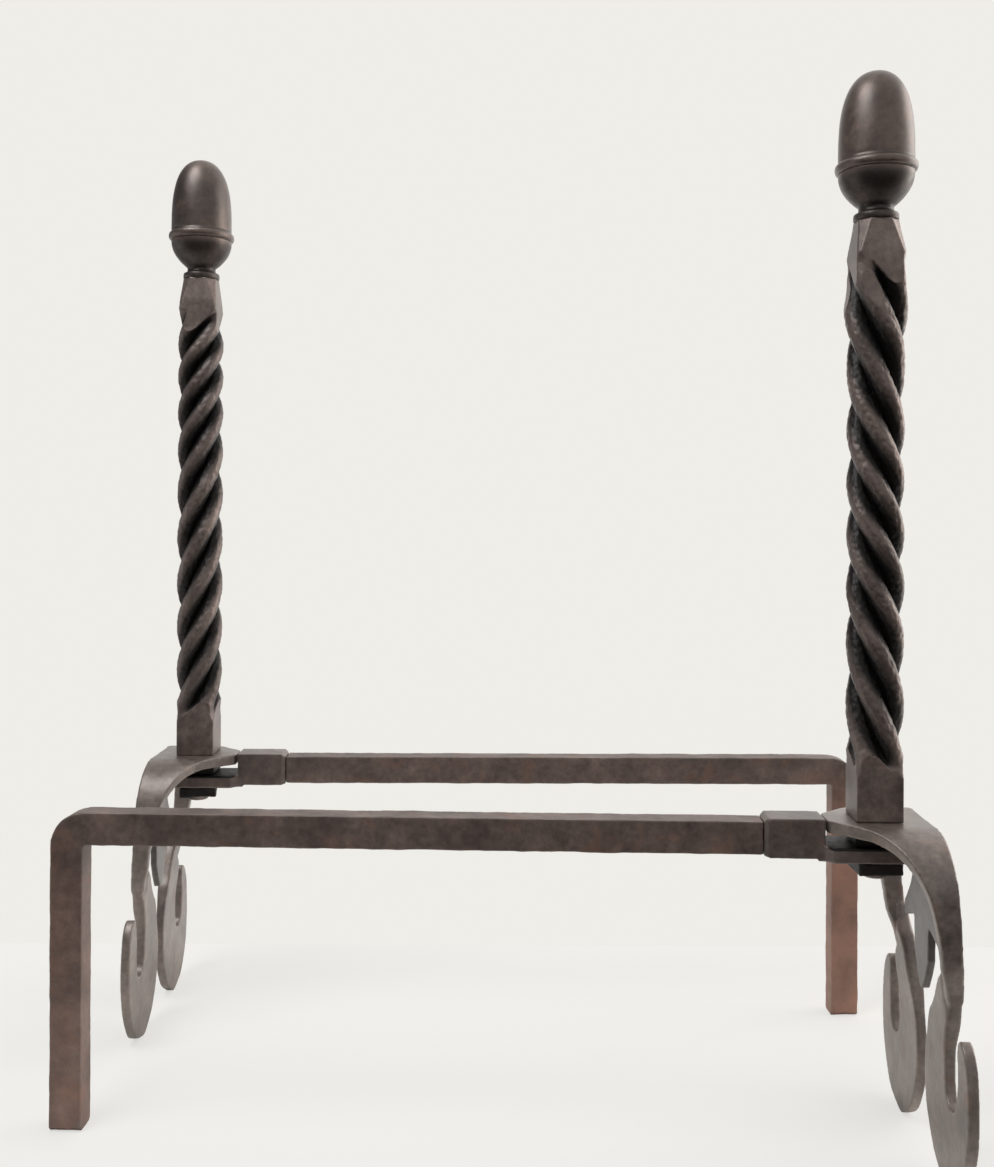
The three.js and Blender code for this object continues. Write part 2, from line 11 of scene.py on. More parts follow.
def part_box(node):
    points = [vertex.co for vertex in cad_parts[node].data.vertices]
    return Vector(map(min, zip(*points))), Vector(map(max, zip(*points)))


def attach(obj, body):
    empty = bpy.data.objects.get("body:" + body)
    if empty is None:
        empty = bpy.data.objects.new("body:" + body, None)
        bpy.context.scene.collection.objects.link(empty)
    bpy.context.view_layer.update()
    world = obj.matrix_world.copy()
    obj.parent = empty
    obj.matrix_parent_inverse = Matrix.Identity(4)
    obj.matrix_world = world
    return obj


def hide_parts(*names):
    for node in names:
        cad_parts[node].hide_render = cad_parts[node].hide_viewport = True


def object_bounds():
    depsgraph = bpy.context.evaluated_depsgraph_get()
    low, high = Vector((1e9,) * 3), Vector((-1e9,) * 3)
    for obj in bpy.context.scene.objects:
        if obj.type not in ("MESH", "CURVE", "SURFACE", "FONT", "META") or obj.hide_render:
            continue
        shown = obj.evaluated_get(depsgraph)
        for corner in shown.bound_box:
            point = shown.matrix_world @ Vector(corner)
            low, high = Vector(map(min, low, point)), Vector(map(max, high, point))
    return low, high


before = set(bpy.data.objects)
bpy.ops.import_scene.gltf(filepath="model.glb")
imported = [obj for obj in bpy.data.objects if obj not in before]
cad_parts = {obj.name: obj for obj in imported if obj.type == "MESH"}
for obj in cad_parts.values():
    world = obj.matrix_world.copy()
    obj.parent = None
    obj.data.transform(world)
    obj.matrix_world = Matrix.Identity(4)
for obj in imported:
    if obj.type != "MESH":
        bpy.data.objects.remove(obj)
cad_low, cad_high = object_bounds()

# ---- Sizes in millimetres, in each andiron's own frame: column on the origin, bar along +X ----

MM = 0.001
TURNS_ABOUT_Z = {"near": 178.0, "far": 0.4}  # degrees
SEAT_GAP = 0.3
PIN_CLEARANCE = 0.3

ARCH_TOP = 182.0
STRIP_THICKNESS = 7.0
CREST_REAR = 28.0
CREST_FRONT = 28.0
CREST_CORNER = 8.0
CREST_FLAT = 20.5
SHOULDER_RADIUS = 34.0
SHOULDER_ANGLE = math.radians(85)
KNEE_HALF_SPAN = 54.7
ANKLE_HEIGHT = 100.0
ANKLE_HALF_SPAN = 47.0
ANKLE_FRONT = 33.2
ANKLE_WIDTH = 8.6

FOOT_THICKNESS = 6.2
FOOT_FRONT = 32.2
STEM_PROUD = 1.1  # how far each face of the stem stands out from the rest of a foot
STEM_FLARE = 1.5  # how much further the rear face stands out where the foot begins
FOOT_HALF_SPAN = 74.5
FOOT_INNER = 6.5
SLOT_INSET = 8.0
SLOT_WIDTH = 18.0
SLOT_BOTTOM = 43.0
TAIL_TOP = 84.0
FOOT_FLAT = 5.0

FLANGE_THICKNESS = 6.2
FLANGE_HALF_WIDTH = 11.5
FLANGE_REAR_SETBACK = 15.0
DROP_THICKNESS = 4.5
DROP_FRONT = 30.5
DROP_LENGTH = 94.0
DROP_WING_BELOW = 51.0
DROP_HALF_WIDTH = 30.0
DROP_STEM_HALF_WIDTH = 12.3
DROP_TIP_HALF_WIDTH = 3.0

BAR_WIDTH = 15.6
BAR_HEIGHT = 18.8
BAR_BELOW_CREST = 1.4
BAR_REACH = 464.0
REAR_LEG_WIDTH = 18.8
BEND_RADIUS = 19.0
LEG_CHAMFER = 2.6  # on the long edges of the rear leg, at the floor
BAR_TENON = (20.0, 10.0, 11.0)

SHOE_LENGTH = 31.0
SHOE_PROUD = 2.2
SHOE_BELOW = 0.8
SHOE_CHAMFER = 2.4
SHOE_SLOT = 1.0
TONGUE_THICKNESS = 8.6
TONGUE_HALF_WIDTH = 14.5
TONGUE_FRONT = 14.0
TONGUE_SHOULDER = 5.0

COLUMN_HALF_SIDE = 12.7
TWIST_BOTTOM = 221.0
TWIST_TOP = 481.0
COLUMN_TOP = 515.0
HEAD_TOP_FACE = 11.3
HEAD_TOP_CORNER = 11.8
COLUMN_CORNER = 17.8  # axis to an eased corner of the square bar
STRAND_REACH = 15.5  # axis to the crown of a strand, but for the top of the twist
GROOVE_REACH = 7.2  # axis to the bottom of a groove
TENON_RADIUS = 7.0
TENON_SHOWS = 3.0

NUT_SIDE = 25.0
NUT_THICKNESS = 6.8
NUT_TURN = {"near": 4.0, "far": 10.0}

FINIAL_FOOT_RADIUS = 12.4
FINIAL_FOOT_HEIGHT = 4.2
NECK_RADIUS = 9.7
NECK_HEIGHT = 3.6
CUP_HEIGHT = 19.2
RING_RADIUS = 22.6
RING_HEIGHT = 5.4
ACORN_RADIUS = 20.8
ACORN_HEIGHT = 51.4
STUD_RADIUS = 4.0
STUD_IN_COLUMN = 18.0
STUD_IN_FINIAL = 22.0

# Heights that follow.
ARCH_UNDERSIDE = ARCH_TOP - STRIP_THICKNESS
FLANGE_TOP = ARCH_UNDERSIDE - SEAT_GAP
FLANGE_BOTTOM = FLANGE_TOP - FLANGE_THICKNESS
TONGUE_TOP = FLANGE_BOTTOM - SEAT_GAP
TONGUE_BOTTOM = TONGUE_TOP - TONGUE_THICKNESS
NUT_TOP = TONGUE_BOTTOM - SEAT_GAP
NUT_BOTTOM = NUT_TOP - NUT_THICKNESS
BAR_TOP = ARCH_TOP - BAR_BELOW_CREST
BAR_BOTTOM = BAR_TOP - BAR_HEIGHT
BAR_MIDDLE = (BAR_TOP + BAR_BOTTOM) / 2
SHOE_FRONT = CREST_REAR + SHOE_SLOT
SHOE_BACK = SHOE_FRONT + SHOE_LENGTH
BAR_FRONT = SHOE_BACK + SHOE_CHAMFER + SEAT_GAP
COLUMN_BOTTOM = ARCH_TOP + SEAT_GAP
FINIAL_BOTTOM = COLUMN_TOP + SEAT_GAP


# ---- Numbers ----


def smooth_share(low, high, value):
    share = np.clip((np.asarray(value, float) - low) / (high - low), 0, 1)
    return share * share * (3 - 2 * share)


def mix(a, b, share):
    return a + (b - a) * share


def hashed(cell, seed):
    """A number from 0 to 1 for each whole-numbered cell."""
    x, y, z = (cell[:, i].astype(np.uint64) for i in range(3))
    h = x * np.uint64(73856093) ^ y * np.uint64(19349663) ^ z * np.uint64(83492791)
    h ^= np.uint64(seed * 2654435761 % 2**32)
    for shift, factor in ((13, 1274126177), (16, 2246822519)):
        h = (h ^ (h >> np.uint64(shift))) * np.uint64(factor) & np.uint64(0xFFFFFFFF)
    return (h >> np.uint64(8)).astype(float) / 2**24


def value_noise(points, size, seed):
    """Smooth noise from -0.5 to 0.5 whose lumps are about `size` across."""
    scaled = points / size + 1000
    cell = np.floor(scaled).astype(np.int64)
    within = smooth_share(0, 1, scaled - cell)
    total = np.zeros(len(points))
    for corner in itertools.product((0, 1), repeat=3):
        weight = np.prod(np.where(corner, within, 1 - within), axis=1)
        total += weight * hashed(cell + corner, seed)
    return total - 0.5


def pebbles(points, size, seed):
    """Rounded bumps from 0 to 1, packed side by side, about `size` across."""
    scaled = points / size + 1000
    cell = np.floor(scaled).astype(np.int64)
    nearest = np.full(len(points), 9.0)
    for corner in itertools.product((-1, 0, 1), repeat=3):
        there = cell + corner
        middle = there + np.stack([hashed(there, seed + i) for i in range(3)], axis=1)
        nearest = np.minimum(nearest, ((scaled - middle) ** 2).sum(axis=1))
    return np.clip(1 - nearest / 0.7, 0, 1)


def spline(points, steps):
    """A smooth curve through the points, with `steps` parts between two of them."""
    points = [Vector(p) for p in points]
    curve = [points[0]]
    for i in range(len(points) - 1):
        before, start = points[max(i - 1, 0)], points[i]
        end, after = points[i + 1], points[min(i + 2, len(points) - 1)]
        for k in range(1, steps + 1):
            t = k / steps
            pull_in = (end - before) / 2
            pull_out = (after - start) / 2
            curve.append(
                start * (2 * t**3 - 3 * t**2 + 1)
                + pull_in * (t**3 - 2 * t**2 + t)
                + end * (3 * t**2 - 2 * t**3)
                + pull_out * (t**3 - t**2)
            )
    return curve


def mirrored(points):
    return [Vector((-p.x, p.y)) for p in reversed(points)]


# ---- Meshes ----


def mesh_object(name, points, faces):
    mesh = bpy.data.meshes.new(name)
    mesh.from_pydata([tuple(p) for p in points], [], faces)
    mesh.update()
    obj = bpy.data.objects.new(name, mesh)
    bpy.context.scene.collection.objects.link(obj)
    return obj


def loft(rings):
    """A closed skin over rings with the same number of points; the end rings get flat caps."""
    count = len(rings[0])
    faces = []
    for i in range(len(rings) - 1):
        low, high = i * count, (i + 1) * count
        for j in range(count):
            k = (j + 1) % count
            faces.append((low + j, low + k, high + k, high + j))
    faces.append(tuple(reversed(range(count))))
    faces.append(tuple(range((len(rings) - 1) * count, len(rings) * count)))
    return [p for ring in rings for p in ring], faces


def slab(outline, place):
    """A plate between two copies of a flat outline; place(point, side) gives a corner of the plate."""
    return loft([[place(p, side) for p in outline] for side in (0, 1)])


def box_shape(x_range, half_width, z_range):
    (x_low, x_high), (z_low, z_high) = x_range, z_range
    outline = [(x_low, z_low), (x_high, z_low), (x_high, z_high), (x_low, z_high)]
    return slab(outline, lambda p, side: (p[0], (half_width, -half_width)[side], p[1]))


def rod_shape(radius, bottom, top, sides=48):
    angles = [2 * math.pi * i / sides for i in range(sides)]
    return loft([[(radius * math.cos(a), radius * math.sin(a), z) for a in angles] for z in (bottom, top)])


def joined(name, *shapes):
    """One object from several closed shapes, which may overlap."""
    points, faces = [], []
    for shape_points, shape_faces in shapes:
        start = len(points)
        points += list(shape_points)
        faces += [tuple(start + i for i in face) for face in shape_faces]
    return mesh_object(name, points, faces)


def apply_modifiers(obj):
    graph = bpy.context.evaluated_depsgraph_get()
    mesh = bpy.data.meshes.new_from_object(obj.evaluated_get(graph))
    obj.modifiers.clear()
    obj.data = mesh
    return obj


def forged(obj, voxel, soften):
    """One even skin round the joined shapes, with eased edges."""
    remesh = obj.modifiers.new("skin", "REMESH")
    remesh.mode = "VOXEL"
    remesh.voxel_size = voxel
    smooth = obj.modifiers.new("ease", "SMOOTH")
    smooth.factor = 0.5
    smooth.iterations = soften
    return apply_modifiers(obj)


def ease_where(obj, share, times_over):
    """Smooths the skin where the share is above nought."""
    group = obj.vertex_groups.new(name="ease")
    for i in np.nonzero(share > 0.01)[0]:
        group.add([int(i)], float(share[i]), "REPLACE")
    smooth = obj.modifiers.new("ease", "SMOOTH")
    smooth.vertex_group = group.name
    smooth.factor = 0.6
    smooth.iterations = times_over
    apply_modifiers(obj)
    obj.vertex_groups.clear()
    return obj


def cut(obj, *tools):
    """Takes closed shapes out of the object."""
    for shape in tools:
        tool = joined("tool", shape)
        boolean = obj.modifiers.new("cut", "BOOLEAN")
        boolean.operation = "DIFFERENCE"
        boolean.solver = "EXACT"
        boolean.object = tool
        apply_modifiers(obj)
        bpy.data.objects.remove(tool)
    return obj


def points_of(mesh):
    flat = np.zeros(len(mesh.vertices) * 3)
    mesh.vertices.foreach_get("co", flat)
    return flat.reshape(-1, 3)


def set_points(mesh, points):
    mesh.vertices.foreach_set("co", np.asarray(points, np.float32).ravel())
    mesh.update()


def hammered(obj, dents, scale_marks, seed):
    """Shallow hammer dents and fine scale, in millimetres, along each point's normal."""
    mesh = obj.data
    points = points_of(mesh)
    normals = np.zeros(len(mesh.vertices) * 3)
    mesh.vertices.foreach_get("normal", normals)
    normals = normals.reshape(-1, 3)
    height = dents * (value_noise(points, 17, seed) + 0.6 * value_noise(points, 7, seed + 1) - 0.25)
    height += scale_marks * (value_noise(points, 2.4, seed + 2) + 0.6 * value_noise(points, 1.3, seed + 3))
    set_points(mesh, points + normals * height[:, None])
    return obj


def shaded(obj, share):
    """Marks each point's share of painted shade for its material: deep in a groove, or tucked under another
    part.
    """
    mark = obj.data.attributes.new("painted_shade_share", "FLOAT", "POINT")
    mark.data.foreach_set("value", np.asarray(share, np.float32))
    return obj


# ---- Front arch: crest strip, legs and scroll feet ----


def strip_face():
    """Outer face of the strip in (y, z), from the crest's centre to the ankle."""
    flat = (0, CREST_CORNER / 2, CREST_CORNER, (CREST_CORNER + CREST_FLAT) / 2)
    points = [Vector((y, ARCH_TOP)) for y in flat]
    for i in range(19):
        angle = SHOULDER_ANGLE * i / 18
        y = CREST_FLAT + SHOULDER_RADIUS * math.sin(angle)
        points.append(Vector((y, ARCH_TOP - SHOULDER_RADIUS * (1 - math.cos(angle)))))
    knee = mix(ANKLE_HEIGHT, points[-1].y, 0.68)
    leg = [points[-1]]
    for inward, upward in ((0, 1), (0.16, 0.55), (0.74, 0.15), (1.1, -0.07)):
        leg.append((mix(KNEE_HALF_SPAN, ANKLE_HALF_SPAN, inward), mix(ANKLE_HEIGHT, knee, upward)))
    return points + spline(leg, 10)[1:]


def strip_shape():
    face = strip_face()
    walked = np.cumsum([0] + [(b - a).length for a, b in zip(face, face[1:])])
    stations = []
    for i, point in enumerate(face):
        along = (face[min(i + 1, len(face) - 1)] - face[max(i - 1, 0)]).normalized()
        inward = Vector((along.y, -along.x)) if i else Vector((0, -1))
        share = max(0, (walked[i] - CREST_CORNER) / (walked[-1] - CREST_CORNER))
        ankle_rear = ANKLE_WIDTH - ANKLE_FRONT
        rear = ankle_rear + (CREST_REAR - ankle_rear) * math.exp(-3.2 * share**1.08)
        front = -mix(CREST_FRONT, ANKLE_FRONT, share**2.1)
        in_foot = float(smooth_share(0.84, 1, share))
        rear = mix(rear, FOOT_THICKNESS - FOOT_FRONT + STEM_PROUD, in_foot)
        stations.append((point, point + inward * STRIP_THICKNESS, front, rear))
    rings = []
    for side, row in ((-1, reversed(stations[1:])), (1, stations)):
        for outer, inner, front, rear in row:
            corners = ((front, outer), (rear, outer), (rear, inner), (front, inner))
            rings.append([(x, side * p.x, p.y) for x, p in corners])
    return loft(rings)


def foot_outline():
    """One scroll foot in (y, z): a stem that swells inward and curls up outside into a tail."""
    inner = ANKLE_HALF_SPAN - STRIP_THICKNESS
    slot_inner = ANKLE_HALF_SPAN - SLOT_INSET
    slot_outer = slot_inner + SLOT_WIDTH
    middle = (FOOT_INNER + FOOT_HALF_SPAN) / 2 - 2
    belly = SLOT_BOTTOM + 2
    inside = spline(
        [
            (inner + 5, ANKLE_HEIGHT + 20),
            (inner - 0.5, ANKLE_HEIGHT + 12),
            (inner - 9, ANKLE_HEIGHT + 4),
            (FOOT_INNER + 15, belly + 44),
            (FOOT_INNER + 8.5, belly + 35),
            (FOOT_INNER + 1, belly + 14),
            (FOOT_INNER + 1.5, belly - 12),
            (FOOT_INNER + 13, belly - 34),
            (middle - FOOT_FLAT / 2, 0),
        ],
        9,
    )
    outside = spline(
        [
            (middle + FOOT_FLAT / 2, 0),
            (FOOT_HALF_SPAN - 16, belly - 38.5),
            (FOOT_HALF_SPAN - 3.5, belly - 18),
            (FOOT_HALF_SPAN, belly + 5),
            (FOOT_HALF_SPAN - 3, TAIL_TOP - 10),
            (FOOT_HALF_SPAN - 11, TAIL_TOP),
            (slot_outer + 1, TAIL_TOP - 4),
            (slot_outer + 1, belly + 17),
            (slot_outer - 1.5, SLOT_BOTTOM + 4),
            ((slot_inner + slot_outer) / 2, SLOT_BOTTOM),
            (slot_inner + 2, SLOT_BOTTOM + 6),
            (slot_inner + 0.5, TAIL_TOP - 15),
            (slot_inner + 6, TAIL_TOP + 4),
            (ANKLE_HALF_SPAN + 0.9, ANKLE_HEIGHT + 2),
            (ANKLE_HALF_SPAN + 3, ANKLE_HEIGHT + 20),
        ],
        8,
    )
    return [Vector((p.x, max(0, p.y))) for p in inside + outside]


def cross_plate(outline, front, thickness):
    """A plate square to the bar, from an outline in (y, z)."""
    return slab(outline, lambda p, side: (-front + side * thickness, p[0], p[1]))


def thicken_stems(arch):
    """Moves both faces of the stems outward, the rear one most of all where a foot flares out of its leg."""
    points = points_of(arch.data)
    x, across = points[:, 0].copy(), np.abs(points[:, 1])
    above = points[:, 2] - ANKLE_HEIGHT
    foot_middle, foot_rear = 0.6 + FOOT_THICKNESS / 2 - FOOT_FRONT, FOOT_THICKNESS - FOOT_FRONT
    leg_outside = ANKLE_HALF_SPAN + 0.3 * np.maximum(0, above + 10)
    stem = smooth_share(-36, -14, above) * smooth_share(7, 1, across - leg_outside)
    front_skin = smooth_share(foot_middle, 0.7 - FOOT_FRONT, x) * smooth_share(34, -2, above)
    rear_skin = smooth_share(foot_middle, foot_rear - 0.5, x) * smooth_share(1.5, 0.5, x - foot_rear)
    leg_inside = ANKLE_HALF_SPAN - STRIP_THICKNESS + np.maximum(0, -2 - above)
    flare = smooth_share(24, 12, above) * smooth_share(2, -0.5, across - leg_inside)
    points[:, 0] -= STEM_PROUD * stem * front_skin
    points[:, 0] += (STEM_PROUD + STEM_FLARE * smooth_share(-6, 14, above)) * stem * rear_skin * flare
    set_points(arch.data, points)


def front_arch(seed):
    outline = foot_outline()
    feet = [cross_plate(o, FOOT_FRONT, FOOT_THICKNESS) for o in (outline, mirrored(outline))]
    arch = forged(joined("arch", strip_shape(), *feet), voxel=0.85, soften=4)
    thicken_stems(arch)
    above = points_of(arch.data)[:, 2] - ANKLE_HEIGHT
    ease_where(arch, smooth_share(-16, -5, above) * smooth_share(36, 18, above), 12)
    hammered(arch, dents=0.3, scale_marks=0.07, seed=seed)
    return cut(arch, rod_shape(TENON_RADIUS + PIN_CLEARANCE, ARCH_UNDERSIDE - 5, ARCH_TOP + 5))


# ---- Centre drop ----


def centre_drop(seed):
    widest, stem = DROP_HALF_WIDTH, DROP_STEM_HALF_WIDTH
    widest_height = ARCH_TOP - DROP_WING_BELOW - 3
    wing_bottom = widest_height - 4
    tip = ARCH_TOP - DROP_LENGTH
    swell = spline(
        [
            (FLANGE_HALF_WIDTH, FLANGE_TOP - FLANGE_THICKNESS / 3),
            (FLANGE_HALF_WIDTH + 1, FLANGE_BOTTOM - 8),
            (FLANGE_HALF_WIDTH + 6, widest_height + 16),
            (widest - 4, widest_height + 4),
            (widest, widest_height),
        ],
        6,
    )
    point = [
        (widest - 0.5, wing_bottom - 5),
        (stem + 1.5, wing_bottom + 0.5),
        (stem, wing_bottom - 1),
        (stem - 0.5, mix(tip, wing_bottom, 0.5)),
        (stem - 4.5, mix(tip, wing_bottom, 0.25)),
        (DROP_TIP_HALF_WIDTH, tip + 1),
        (DROP_TIP_HALF_WIDTH - 1, tip),
    ]
    half = swell + [Vector(p) for p in point]
    outline = half + mirrored(half)
    flange_range = (1 - DROP_FRONT, CREST_REAR - FLANGE_REAR_SETBACK)
    flange = box_shape(flange_range, FLANGE_HALF_WIDTH, (FLANGE_BOTTOM, FLANGE_TOP))
    pendant = cross_plate(outline, DROP_FRONT, DROP_THICKNESS)
    drop = forged(joined("drop", pendant, flange), voxel=0.6, soften=1)
    hammered(drop, dents=0.18, scale_marks=0.05, seed=seed)
    cut(drop, rod_shape(TENON_RADIUS + PIN_CLEARANCE, FLANGE_BOTTOM - 5, FLANGE_TOP + 5))
    # The flange and the top of the drop, under the crest, get near-black painted shade.
    return shaded(drop, smooth_share(FLANGE_BOTTOM - 12, FLANGE_BOTTOM - 2, points_of(drop.data)[:, 2]))


# ---- Billet bar and shoe ----


def billet_bar(seed):
    leg_front = BAR_REACH - REAR_LEG_WIDTH
    outline = [(BAR_FRONT, BAR_BOTTOM), (leg_front, BAR_BOTTOM), (leg_front, 0), (BAR_REACH, 0)]
    for i in range(19):
        angle = math.pi / 2 * i / 18
        x = BAR_REACH - BEND_RADIUS * (1 - math.cos(angle))
        outline.append((x, BAR_TOP - BEND_RADIUS * (1 - math.sin(angle))))
    outline.append((BAR_FRONT, BAR_TOP))
    stock = slab(outline, lambda p, side: (p[0], (0.5 - side) * BAR_WIDTH, p[1]))
    length, width, height = BAR_TENON
    tenon = box_shape(
        (BAR_FRONT - length, BAR_FRONT + 5), width / 2, (BAR_MIDDLE - height / 2, BAR_MIDDLE + height / 2)
    )
    bar = forged(joined("bar", stock, tenon), voxel=0.95, soften=3)
    points = points_of(bar.data)
    half = BAR_WIDTH / 2 - np.clip(LEG_CHAMFER - points[:, 2], 0, LEG_CHAMFER)
    points[:, 1] = np.clip(points[:, 1], -half, half)
    set_points(bar.data, points)
    return hammered(bar, dents=0.6, scale_marks=0.14, seed=seed)


def tapered_block():
    rings = []
    for x, grow in ((SHOE_FRONT, 1), (SHOE_BACK, 1), (SHOE_BACK + SHOE_CHAMFER, 0)):
        half = BAR_WIDTH / 2 + SHOE_PROUD * grow
        bottom, top = BAR_BOTTOM - SHOE_BELOW * grow, BAR_TOP + SHOE_PROUD * grow
        rings.append([(x, -half, bottom), (x, half, bottom), (x, half, top), (x, -half, top)])
    return loft(rings)


def shoe(seed):
    half = BAR_WIDTH / 2 + SHOE_PROUD
    shoulder = SHOE_FRONT + 1
    right = [
        (-TONGUE_FRONT, TONGUE_HALF_WIDTH),
        (shoulder - TONGUE_SHOULDER, TONGUE_HALF_WIDTH),
        (shoulder, half),
        (shoulder + 3, half),
    ]
    outline = [(x, -y) for x, y in right] + right[::-1]
    tongue = slab(outline, lambda p, side: (p[0], p[1], (TONGUE_BOTTOM, TONGUE_TOP)[side]))
    block = forged(joined("shoe", tapered_block(), tongue), voxel=0.7, soften=2)
    hammered(block, dents=0.35, scale_marks=0.12, seed=seed)
    length, width, height = (size + PIN_CLEARANCE for size in BAR_TENON)
    socket = box_shape(
        (BAR_FRONT - length, BAR_FRONT + 5),
        (width + PIN_CLEARANCE) / 2,
        (BAR_MIDDLE - height / 2 - PIN_CLEARANCE / 2, BAR_MIDDLE + height / 2 + PIN_CLEARANCE / 2),
    )
    cut(block, socket, rod_shape(TENON_RADIUS + PIN_CLEARANCE, TONGUE_BOTTOM - 5, TONGUE_TOP + 5))
    # The top of the tongue, under the drop's flange, gets near-black painted shade.
    x, _, z = points_of(block.data).T
    shaded_tongue_top = smooth_share(TONGUE_TOP - 1.6, TONGUE_TOP - 0.7, z)
    return shaded(block, shaded_tongue_top * smooth_share(SHOE_FRONT, SHOE_FRONT - 3, x))


# ---- Column ----

COLUMN_SIDES = 160
COLUMN_STEP = 0.75  # height of one row of faces
GROOVES_RISE = (202.0, 224.0)  # heights between which the grooves deepen over the foot
GROOVES_FADE = (502.0, 474.0)  # and below the head
SQUARE_ENDS = (212.0, 238.0)  # heights between which the square foot leaves the strands free
SQUARE_STARTS = (482.0, 456.0)  # and the square head
PEBBLE_SIZE = 2.3

# Quarter turns, hand, how much quicker the twist is in its middle and towards its foot, the reach of the
# strands under the head, and how far the faces of the head swell out.
TWIST = {
    "near": {"quarters": 8, "hand": -1, "quicken": 0.13, "lean": 0.05, "reach_top": 17.3, "swell": 0.8},
    "far": {"quarters": 9.2, "hand": 1, "quicken": -0.11, "lean": -0.34, "reach_top": 15.5, "swell": 0.0},
}


def twist_turn(z, twist):
    """How far the bar is turned at a height; it runs on at the same pace a little past both ends."""
    share = (z - TWIST_BOTTOM) / (TWIST_TOP - TWIST_BOTTOM)
    inside = np.clip(share, 0, 1)
    turned = inside - twist["quicken"] * np.sin(2 * np.pi * inside) / (2 * np.pi)
    turned += twist["lean"] * (inside - inside**2) / 2
    pace_low = 1 - twist["quicken"] + twist["lean"] / 2
    pace_high = 1 - twist["quicken"] - twist["lean"] / 2
    past = np.where(share < 0, share * pace_low, np.where(share > 1, (share - 1) * pace_high, 0))
    quarter = twist["hand"] * twist["quarters"] * np.pi / 2
    return turned * quarter, (turned + past) * quarter


def strand_reach(offset, crown, groove):
    """Axis to the surface, at an angle from a strand's crown: each strand is part of a circle."""
    radius = (crown**2 + groove**2 - math.sqrt(2) * crown * groove) / (2 * crown - math.sqrt(2) * groove)
    centre = crown - radius
    across = centre * np.sin(offset)
    return centre * np.cos(offset) + np.sqrt(radius**2 - across**2)


def from_nearest(angle, first):
    """Angle to the nearest of four directions, `first` and its quarter turns."""
    return (angle - first + np.pi / 4) % (np.pi / 2) - np.pi / 4


def column_ring(z, twist, seed):
    """One row of points, and how deep each lies in a groove, which is its share of painted shade; square ends
    run out into the strands.
    """
    mesh_turn, turn = (float(t) for t in twist_turn(z, twist))
    angle = mesh_turn + np.arange(COLUMN_SIDES) * 2 * np.pi / COLUMN_SIDES
    grooved = float(smooth_share(*GROOVES_RISE, z) * smooth_share(*GROOVES_FADE, z))
    crown = mix(STRAND_REACH, twist["reach_top"], float(smooth_share(428, 458, z)))
    crown = mix(18.9, crown, grooved)
    groove = mix(crown, GROOVE_REACH, grooved)
    strands = strand_reach(from_nearest(angle, turn + np.pi / 4), crown, groove)
    released = 6 * float(smooth_share(*SQUARE_ENDS, z) * smooth_share(*SQUARE_STARTS, z))
    up_head = float(smooth_share(TWIST_TOP + 8, COLUMN_TOP, z))
    swell = twist["swell"] * float(smooth_share(462, 484, z) * smooth_share(COLUMN_TOP, 492, z))
    face = mix(COLUMN_HALF_SIDE, HEAD_TOP_FACE, up_head**1.6) + swell + released
    chamfer = np.clip((z - 490) / (COLUMN_TOP - 490), 0, 1) ** 1.3
    corner = mix(COLUMN_CORNER + 1.4 * swell, HEAD_TOP_CORNER, chamfer) + released
    from_face, from_corner = from_nearest(angle, 0), from_nearest(angle, np.pi / 4)
    square = np.minimum(face / np.cos(from_face), corner / np.cos(from_corner))
    reach = np.minimum(strands, square)
    points = np.stack([reach * np.cos(angle), reach * np.sin(angle), np.full(len(angle), z)], axis=1)
    rough = grooved * smooth_share(0.2, 1.2, square - strands + 0.6)
    deep = (crown - strands) / max(1, crown - GROOVE_REACH)
    lumps = (0.45 + 0.5 * deep) * (pebbles(points * (1, 1, 0.7), PEBBLE_SIZE, seed) - 0.5)
    bumps = lumps + 0.5 * value_noise(points, 9, seed + 5)
    reach = reach + rough * bumps + 0.1 * value_noise(points, 12, seed + 9)
    points[:, 0], points[:, 1] = reach * np.cos(angle), reach * np.sin(angle)
    # Share of painted shade: most at the bottom of a groove, none on the crowns and plain faces.
    return points, np.clip((0.12 + 0.88 * deep) * grooved * (square > strands), 0, 1)


def round_ring(radius, z, sides=COLUMN_SIDES, turn=0.0):
    angle = turn + np.arange(sides) * 2 * np.pi / sides
    return np.stack([radius * np.cos(angle), radius * np.sin(angle), np.full(sides, z)], axis=1)


def column(seed, twist):
    tenon_bottom = NUT_BOTTOM - TENON_SHOWS
    rings = [round_ring(TENON_RADIUS - 1, tenon_bottom), round_ring(TENON_RADIUS, tenon_bottom + 1)]
    rings += [round_ring(TENON_RADIUS, z) for z in np.linspace(tenon_bottom + 8, COLUMN_BOTTOM, 4)]
    heights = np.linspace(COLUMN_BOTTOM, COLUMN_TOP, round((COLUMN_TOP - COLUMN_BOTTOM) / COLUMN_STEP))
    # Each point's share of painted shade: none on the tenon, by groove depth on the bar, full in the stud
    # hole.
    painted_shade_share = [np.zeros(COLUMN_SIDES)] * len(rings)
    for z in heights:
        ring, deep = column_ring(z, twist, seed)
        rings.append(ring)
        painted_shade_share.append(deep)
    end_turn = float(twist_turn(COLUMN_TOP, twist)[0])
    hole = STUD_RADIUS + PIN_CLEARANCE
    hole_bottom = COLUMN_TOP - STUD_IN_COLUMN - SEAT_GAP
    rings += [round_ring(hole, z, turn=end_turn) for z in (COLUMN_TOP, hole_bottom)]
    painted_shade_share += [np.ones(COLUMN_SIDES)] * 2
    return shaded(joined("column", loft(rings)), np.concatenate(painted_shade_share))


